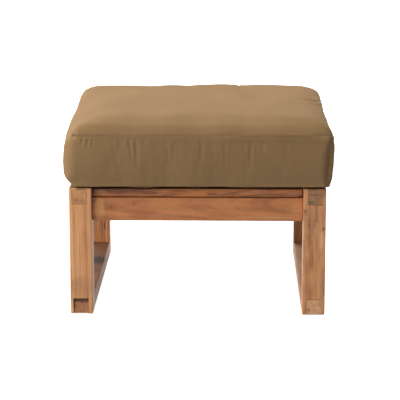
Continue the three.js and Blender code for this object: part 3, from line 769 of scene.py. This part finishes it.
def inflate(form):
    """How the form's points move as a cloth simulation fills out the cover, its seams held."""
    piece = form.mesh("filling", form.gather(form.top, form.bottom, form.wall))
    start = read(piece, "co")
    write(piece, start - SIM_SHRINK * read(piece, "normal"))
    rim = form.rim()
    held = rim + [index + (form.cells + 1) ** 2 for index in rim]
    piece.vertex_groups.new(name="seams").add(held, 1.0, "REPLACE")
    cloth = piece.modifiers.new("cloth", "CLOTH")
    for key, value in CLOTH.items():
        setattr(cloth.settings, key, value)
    cloth.settings.effector_weights.gravity = 0
    cloth.point_cache.frame_start = 1
    cloth.point_cache.frame_end = SIM_FRAMES
    scene = bpy.context.scene
    for step in range(1, SIM_FRAMES + 1):
        scene.frame_set(step)
    move = read(piece.evaluated_get(bpy.context.evaluated_depsgraph_get()), "co") - start
    scene.frame_set(1)
    bpy.data.objects.remove(piece)
    length = np.linalg.norm(move, axis=1, keepdims=True)
    move *= SIM_SHARE * SIM_CAP * np.tanh(length / SIM_CAP) / np.maximum(length, 1e-9)
    return form.spread(move)


def valley(across):
    """A valley, with a soft ridge on either side."""
    return (across**2 - 1) * np.exp(-(across**2) / 2)


def pucker(u, v, place, lean, width, reach, depth):
    """One gathered fold that runs from a seam: height to add."""
    along = v / reach
    return depth * valley((u - place - lean * v) / width) * along * np.exp(1 - along)


def seen_folds(seen, folds, peak):
    """Valleys between two pixels, deepest where the power sets it: height to add."""
    height = np.zeros(len(seen))
    for start, end, width, depth in folds:
        length = math.dist(start, end)
        way = (np.array(end) - start) / length
        offset = seen - start
        share = np.clip(offset @ way / length, 0, 1) ** peak
        across = (offset @ np.array([-way[1], way[0]])) / width
        height += depth * MM * valley(across) * np.sin(share * math.pi)
    return height


# Folds seen in the photograph: the pixels of their ends, half width in pixels, depth in millimetres
FRONT_FOLDS = [
    ((84.0, 136), (80.4, 147), 1.4, 1.7), ((88.4, 136), (86.6, 148), 1.3, 1.4),
    ((93.0, 136), (92.6, 148), 1.3, 1.3), ((112.8, 137), (113.2, 158), 1.4, 0.6),
    ((128.6, 136), (132.2, 163), 1.5, 1.6), ((135.6, 137), (137.0, 168), 2.0, 1.2),
    ((173.3, 139), (173.7, 170), 1.5, 0.7), ((201.4, 136), (201.0, 169), 1.6, 0.8),
    ((225.0, 139), (224.6, 170), 1.3, 1.0), ((251.0, 139), (250.6, 171), 1.6, 0.9),
    ((263.0, 140), (262.4, 162), 1.8, 0.4), ((287.0, 139), (287.4, 158), 1.8, 0.4),
]
# The same on top, most of them towards its back right corner
TOP_FOLDS = [
    ((295, 96.9), (321.5, 102.8), 0.8, 2.8), ((302, 101.0), (322, 107.2), 0.7, 2.2),
    ((303, 93.4), (320, 98.2), 0.8, 1.2), ((236, 83), (242, 90), 1.6, 1.6),
    ((158, 84), (163, 91), 1.6, 1.2),
]

# Pockets: the pixel in the middle, half sizes in pixels, and the way in, in millimetres
POCKETS = [
    ((331.6, 140.6), (2.2, 2.6), (-2.6, 3.6, 0)),
    ((73.2, 135.4), (2.4, 1.8), (2.0, 8.0, 0)),
]

# How the cover's outline strays from the form: at a pixel row or column, the pixels to move by
LEFT_STRAY = (
    [92, 97, 101, 108, 114, 119, 126, 132, 140, 150, 162, 170, 183, 188],
    [-0.7, 0.1, 1.0, 1.5, 0.8, 0.0, -0.9, -1.0, -0.4, 0.1, -0.7, -0.2, 0.7, 0.9],
)
RIGHT_STRAY = (
    [88, 90, 96, 104, 109, 116, 122, 128, 133, 140, 150, 158, 166, 172, 178, 182, 185, 188],
    [-0.4, 0.2, 1.3, 1.4, 1.1, -0.1, 0.1, 0.7, 0.2, 0.7, 0.7, 0.3, 0, -0.8, -0.8, -1.1, -1.4, -0.9],
)
BACK_STRAY = (
    [84, 92, 104, 150, 158, 168, 176, 188, 198, 210, 224, 234, 242, 256, 284, 296, 310, 322],
    [1.6, 1.2, 0.2, -0.1, 0.1, 0.8, 0.8, 0.2, 1.6, 2.0, 2.6, 2.0, 0.9, 1.0, 0.7, 0.7, 1.3, 1.6],
)
# What a pixel measures at the cushion's sides and at its back
SIDE_PIXEL = 2.5 * MM
BACK_PIXEL = 2.7 * MM
# How far the front seam lies below the form's, and its lower edge above it: at a pixel column, in
# millimetres. Where the seam isn't sunk, the wall is filled out
SEAM_DROP = ([70, 80, 130, 200, 235, 260, 310, 332], [4.5, 5.6, 4.6, 2.6, 1.0, 0.2, 0.2, 0.5])
LOWER_LIFT = ([70, 120, 210, 330], [1.0, 1.2, 1.5, 1.8])
WALL_FILL = 2.1 * MM
# How much fuller the crown is in front, in millimetres: at a pixel column, around a row of its own,
# and around one row below
FULL_COLUMNS = [70, 84, 98, 150, 210, 270, 300, 318, 328]
FULL_ROWS = [120, 118, 117, 118, 118, 119, 119, 120, 121]
FULL_HEIGHTS = [0, 1.0, 2.4, 3.4, 4.0, 5.6, 5.4, 2.6, 0]
STEEP_HEIGHTS = [0, 2.0, 3.4, 2.8, 3.5, 4.9, 4.8, 3.2, 0]
STEEP_ROW = 127.5
FULL_REACH = 5.5
# Chance folds at the seams, over the four sides, and slow swells of the filling
CHANCE_FOLDS = 4 * 46
SWELLS = 9
SWELL_HEIGHT = 0.42 * MM
# The crease by the front right corner and the roll beyond it: height, and places round the corner
EDGE_DRAW = 4.2 * MM
CREASE_PLACE = 0.5 * MM
ROLL_PLACE = 10 * MM


def pushed(points, centre, reach, way):
    """Points around a place moved by this many millimetres, the nearest ones most."""
    near = hump(np.linalg.norm(points - centre, axis=1), reach)
    return points + near[:, None] * np.array(way) * MM


def detail(form, points, normals):
    """Folds, seams and slow unevenness, laid over the simulated cover along its normals, and then
    what the photograph shows of its corners, seams and outline."""
    from_top, from_bottom = form.seam_distance()
    reach_x = FRAME_HALF + BODY_OVERHANG_X
    reach_y = FRAME_HALF + BODY_OVERHANG_Y
    side = form.listed(form.side, form.side, form.wall_side)
    t = form.listed(form.t, form.t, form.wall_t)
    panel = np.full(form.side.shape, 2.0)
    level = form.listed(panel, -panel, form.wall_level)
    u = t * np.where(side % 2 == 0, reach_y, reach_x)
    beside = (1 - np.abs(t)) * reach_x
    wall = np.abs(level) <= 1
    top = level > 1
    seen = pixels_of(points)
    column, row = seen.T
    height = np.zeros(len(points))
    front = wall & (side == 3)
    height[front] += seen_folds(seen[front], FRONT_FOLDS, 0.7)
    height[top] += seen_folds(seen[top], TOP_FOLDS, 1.5)
    draw = random.Random(11)
    for number in range(CHANCE_FOLDS):
        own = number % 4
        place = draw.uniform(-295, 295) * MM
        lean, width = draw.uniform(-0.12, 0.12), draw.uniform(2.6, 5.5) * MM
        reach, depth = draw.uniform(7, 24) * MM, draw.uniform(0.05, 0.3) * MM
        depth *= 0.45 if own == 3 else 1.0
        at = wall & (side == own)
        seam = from_bottom if number % 3 == 2 else from_top
        height[at] += pucker(u[at], seam[at], place, lean, width, reach, depth)
        if number % 2 == 1:
            at = top & (side == own)
            own_fold = (width * 1.3, reach * 0.5, depth * 0.6)
            height[at] += pucker(u[at], from_top[at], place, lean, *own_fold)
    for _ in range(SWELLS):
        way = np.array([draw.gauss(0, 1), draw.gauss(0, 1), draw.gauss(0, 1)])
        way *= math.tau / (draw.uniform(90, 260) * MM) / np.linalg.norm(way)
        height += SWELL_HEIGHT * np.sin(points @ way + draw.uniform(0, math.tau))
    # Corners of the seams are drawn deeper, and the seam itself is a narrow crease
    corner = hump(beside, 34 * MM)
    near = np.minimum(from_top, from_bottom)
    height *= 1 - hump(near, 3 * MM)
    filled = np.where((from_top < from_bottom) & (side == 3), 1.6 * SEAM_FILL, SEAM_FILL)
    height += filled * (1 - corner) * hump(near, 6 * MM)
    height -= SEAM_DEPTH * corner * hump(near, SEAM_WIDTH)
    points = points + height[:, None] * normals
    # The front right corner stands out like a small ear
    ear = wall_points(0, -1.0, 1.0) - (0, 0, 9 * MM)
    points = pushed(points, ear, 13 * MM, (4.0, -3.0, -1.0))
    x, y, z = points.T
    # The front right edge is drawn in below the ear, and rolls out again beyond it
    edge = wall & (((side == 3) & (t > 0)) | ((side == 0) & (t < 0)))
    past = np.where(side == 0, beside, -beside)
    fade = np.clip(1.15 - np.abs(level + 0.05) ** 3, 0, 1)
    drawn = -EDGE_DRAW * hump(past - CREASE_PLACE, np.where(past < CREASE_PLACE, 9 * MM, 3.6 * MM))
    drawn += EDGE_DRAW * hump(past - ROLL_PLACE, 5.5 * MM)
    points[edge] += (drawn * fade)[edge, None] * normals[edge]
    # Small pockets: under the ear, and where the seam ends in a tuck at the front left corner
    for pixel, halves, way in POCKETS:
        share = np.exp(-(((seen - pixel) / halves) ** 2).sum(1)) * (y < IN_FRONT)
        points += share[:, None] * np.array(way) * MM
    # The front seam lies lower than the form's. Where it doesn't, the wall is filled out below it
    before = np.clip((IN_FRONT - y) / 0.1, 0, 1)
    sunk = np.interp(column, *SEAM_DROP)
    z -= sunk * MM * hump(from_top, 16 * MM) * before**2 * (3 - 2 * before)
    below = hump(from_top - 10 * MM, 8 * MM) * front
    y -= below * (1 - sunk / max(SEAM_DROP[1])) * WALL_FILL
    # The crown is fuller in front
    crest, upper, lower = (
        np.interp(column, FULL_COLUMNS, line) for line in (FULL_ROWS, FULL_HEIGHTS, STEEP_HEIGHTS)
    )
    fuller = upper * hump(row - crest, FULL_REACH) + lower * hump(row - STEEP_ROW, FULL_REACH)
    z += fuller * top * (y < 0) * MM
    # The lower edge is lifted clear of the frame in front, more towards the right
    z += before * hump(from_bottom, 12 * MM) * np.interp(column, *LOWER_LIFT) * MM
    # The outline, at the left, at the right and along the back
    x += np.clip((110 - column) / 30, 0, 1) ** 2 * np.interp(row, *LEFT_STRAY) * SIDE_PIXEL
    x += np.clip((column - 306) / 14, 0, 1) ** 2 * np.interp(row, *RIGHT_STRAY) * SIDE_PIXEL
    z += top * hump(y - 0.22, 0.07) * np.interp(column, *BACK_STRAY) * BACK_PIXEL
    # The front turns gently towards its left corner
    turned = np.exp(-(x + 0.32) / (34 * MM)) * np.clip((IN_FRONT - y) / 0.08, 0, 1)
    y += np.minimum(turned, 1.1) * 6 * MM
    # The front corners hang down over the posts
    hang = hump(z - CUSHION_BASE - UNDERSIDE_RISE, 14 * MM) * (y < IN_FRONT)
    hang *= hump(FRAME_HALF - np.abs(x), 45 * MM)
    z -= hang * np.where(x < 0, 2.2, 1.2) * MM
    # The filling sags out at the lower left, and the left end of the front has a dimple
    sag = hump(z - CUSHION_BASE - 24 * MM, 17 * MM) * np.clip((-x - 0.26) / 0.04, 0, 1)
    x -= sag * 4.5 * MM
    return pushed(points, (-0.285, -0.314, 0.326), 16 * MM, (0.5, 2.5, 0.5))


def zip_recess(points):
    """The back wall drawn in along the zip, so that its chain lies between two lips of cloth."""
    x, y, z = points.T
    beyond = np.maximum(np.abs(x) - ZIP_REACH, 0)
    across = (z - ZIP_Z) / ZIP_HALF_OPENING
    near = hump(beyond, END_MARGIN) * (y > IN_BACK)
    y += near * np.exp(-(across**8)) * (TAPE_FACE - ZIP_RECESS - y)
    lip = hump(np.abs(across) - 1.35, 0.4)
    y += near * lip * np.maximum(TAPE_FACE + 0.6 * MM - y, 0)
    return points


def build_cushion():
    coarse = Cushion(SIDE_CELLS, WALL_CELLS)
    fine = Cushion(2 * SIDE_CELLS, 2 * WALL_CELLS)
    points = fine.gather(fine.top, fine.bottom, fine.wall)
    top, bottom, wall = inflate(coarse)
    move = fine.gather(finer(top, False), finer(bottom, False), finer(wall, True))
    near = np.minimum(*fine.seam_distance())
    points = points + move * (1 - 0.75 * hump(near, 10 * MM))[:, None]
    cover = fine.mesh("cushion_shell", points)
    points = detail(fine, points, read(cover, "normal"))
    points = zip_recess(points)
    points[:, 2] = np.maximum(points[:, 2], CUSHION_BASE)
    write(cover, points)
    cover.data.materials.append(canvas("khaki_canvas", CANVAS_LIGHT, CANVAS_DARK))
    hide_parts("cushion_cover")
    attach(cover, "cushion")
    build_stitches(cover)
    build_core(coarse)


def bars(name, lines, section, scales):
    """Many small closed bars as one piece. A section's points, given across and outward, are set at
    even stations along each line from start to end, and scaled there."""
    vertices, faces = [], []
    count, last = len(section), len(scales) - 1
    for start, end in lines:
        first = len(vertices)
        along = end - start
        across = along.cross(OUTWARD).normalized()
        for number, scale in enumerate(scales):
            centre = start + along * number / last
            vertices += [tuple(centre + scale * (across * a + OUTWARD * b)) for a, b in section]
        for ring in range(last):
            for k in range(count):
                a, b = first + ring * count + k, first + ring * count + (k + 1) % count
                faces.append((a, b, b + count, a + count))
        faces.append(tuple(first + k for k in reversed(range(count))))
        faces.append(tuple(first + last * count + k for k in range(count)))
    mesh = bpy.data.meshes.new(name)
    mesh.from_pydata(vertices, [], faces)
    return placed(name, mesh)


def build_zip():
    """The zip's two interlocked rows of coil, with a narrow core between them."""
    rise = ZIP_HIGH.y - TAPE_FACE
    section = [(a * MM, b * rise) for a, b in COIL_SECTION]
    lines = []
    for number in range(2 * int((ZIP_HIGH.x - ZIP_LOW.x) / ZIP_PITCH) - 1):
        x = ZIP_LOW.x + (number + 1) * ZIP_PITCH / 2
        edge, tip = (ZIP_LOW.z, ZIP_Z + ZIP_BITE) if number % 2 else (ZIP_HIGH.z, ZIP_Z - ZIP_BITE)
        lines.append((Vector((x, TAPE_FACE, edge)), Vector((x, TAPE_FACE, tip))))
    coil = bars("zip_coil_rows", lines, section, (0.75, 1.0, 0.8))
    half, low, high = 2.1 * MM, ZIP_LOW.y - TAPE_FACE, 0.2 * MM
    core = [(-half, low), (half, low), (half, high), (-half, high)]
    ends = [tuple(Vector((x, TAPE_FACE, ZIP_Z)) for x in (ZIP_LOW.x, ZIP_HIGH.x))]
    strip = bars("zip_coil_core", ends, core, (1.0, 1.0))
    for made in (coil, strip):
        made.data.materials.append(smooth("zip_coil", (92, 72, 52), (70, 54, 38), 0.42, **NYLON))
        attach(made, "cushion")
    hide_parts("zip_chain")
    for name in ("zip_tape_upper", "zip_tape_lower"):
        wear(name, canvas("zip_tape_weave", TAPE_LIGHT, TAPE_DARK, 0.5 * MM))


def build_stitches(cover):
    """Two rows of stitches beside the zip, laid on the cover where it is."""
    points = read(cover, "co")
    back = points[points[:, 1] > IN_BACK]
    reach = ZIP_REACH + END_MARGIN
    lines = []
    for level in (ZIP_Z - STITCH_OFFSET, ZIP_Z + STITCH_OFFSET):
        row = back[np.abs(back[:, 2] - level) < 3.2 * MM]
        row = row[np.argsort(row[:, 0])]
        for x in np.arange(-reach, reach, STITCH_PITCH):
            ends = (x, x + STITCH_LENGTH)
            depths = np.interp(ends, row[:, 0], row[:, 1])
            lines.append(tuple(Vector((end, y, level)) for end, y in zip(ends, depths)))
    across, out = STITCH_HALF
    turns = [k * math.pi / 3 for k in range(6)]
    section = [(math.cos(turn) * across, math.sin(turn) * out) for turn in turns]
    made = bars("zip_stitches", lines, section, (0.5, 1.0, 1.0, 0.5))
    made.data.materials.append(canvas("stitch_thread", THREAD_LIGHT, THREAD_DARK, 0.3 * MM))
    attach(made, "cushion")


def build_core(form):
    """The foam block inside the cover, a little clear of it all round."""
    core = form.mesh("cushion_core", form.gather(form.top, form.bottom, form.wall))
    write(core, read(core, "co") - CORE_INSET * read(core, "normal"))
    g = Graph("open_foam")
    place = g.place()[0]
    cells = g.node("ShaderNodeTexVoronoi", {"Vector": place, "Scale": 700.0}).outputs["Distance"]
    depth = g.total((cells, 0.6), (g.noise(place, 25.0, 3.0), 0.5))
    color = g.mix(depth, srgb(232, 222, 190), srgb(200, 186, 150))
    foam = g.surface(Base_Color=color, Roughness=0.95, Normal=g.bump(cells, 0.6 * MM, 0.8))
    core.data.materials.append(foam)
    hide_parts("cushion_foam")
    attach(core, "cushion")


# Stage

def build_stage():
    mesh = bpy.data.meshes.new("floor")
    reach = 30.0
    corners = [(-reach, -reach, 0), (reach, -reach, 0), (reach, reach, 0), (-reach, reach, 0)]
    mesh.from_pydata(corners, [], [(0, 1, 2, 3)])
    floor = placed("floor", mesh)
    g = Graph("pale_floor")
    color = g.mix(g.noise(g.place()[0], 3.0), (0.86, 0.86, 0.86, 1), (0.9, 0.9, 0.9, 1))
    glow = {"Emission_Color": (1, 1, 1, 1), "Emission_Strength": 0.85}
    mesh.materials.append(g.surface(Base_Color=color, Roughness=0.8, **glow))
    floor.visible_diffuse = False


# The sky grows lighter this way, from one grey to the other
SKY_WAY = (-0.35, -0.05, 0.8)
SKY_GREYS = (0.22, 0.85)

# Each lamp's place, what it looks at, its width and height, its power and its colour
LAMPS = {
    "key": ((-3.9, -0.3, 2.65), (0, 0, 0.3), (2.4, 2.2), 116, WARM),
    "back": ((-0.9, 3.2, 2.8), (0, 0, 0.3), (3.0, 2.4), 97, (1.0, 0.99, 0.97)),
    "edge": ((3.6, 2.2, 1.9), (0, 0, 0.35), (1.6, 1.6), 68, WARM),
    "front": ((-2.4, -2.4, 0.9), (0, 0, 0.3), (2.0, 1.5), 43, WARM),
}


def build_light():
    g = Graph("studio", bpy.data.worlds)
    way = {0: g.node("ShaderNodeTexCoord").outputs["Generated"], 1: SKY_WAY}
    tilted = g.node("ShaderNodeVectorMath", way, operation="DOT_PRODUCT").outputs["Value"]
    fade = g.node("ShaderNodeValToRGB", {0: tilted})
    for stop, grey in zip(fade.color_ramp.elements, SKY_GREYS):
        stop.color = (grey, grey, grey, 1)
    g.put(fade.outputs[0], g.nodes["Background"].inputs["Color"])
    bpy.context.scene.world = g.owner
    for name, (place, aim, size, power, color) in LAMPS.items():
        lamp = bpy.data.lights.new(name, "AREA")
        lamp.shape = "RECTANGLE"
        lamp.size, lamp.size_y = size
        lamp.energy = power
        lamp.color = color
        holder = placed(name, lamp)
        holder.location = place
        holder.rotation_euler = (Vector(aim) - Vector(place)).to_track_quat("-Z", "Y").to_euler()


def build_camera():
    lens = bpy.data.cameras.new("camera")
    lens.sensor_width = CAMERA_SENSOR
    lens.lens = CAMERA_LENS
    lens.clip_end = 100
    holder = placed("camera", lens)
    holder.location = CAMERA_PLACE
    holder.rotation_euler = CAMERA_TURN
    bpy.context.scene.camera = holder
    bpy.context.scene.view_settings.view_transform = "Standard"


build_camera()
build_light()
build_stage()
dress_wood()
dress_fittings()
build_cushion()
build_zip()
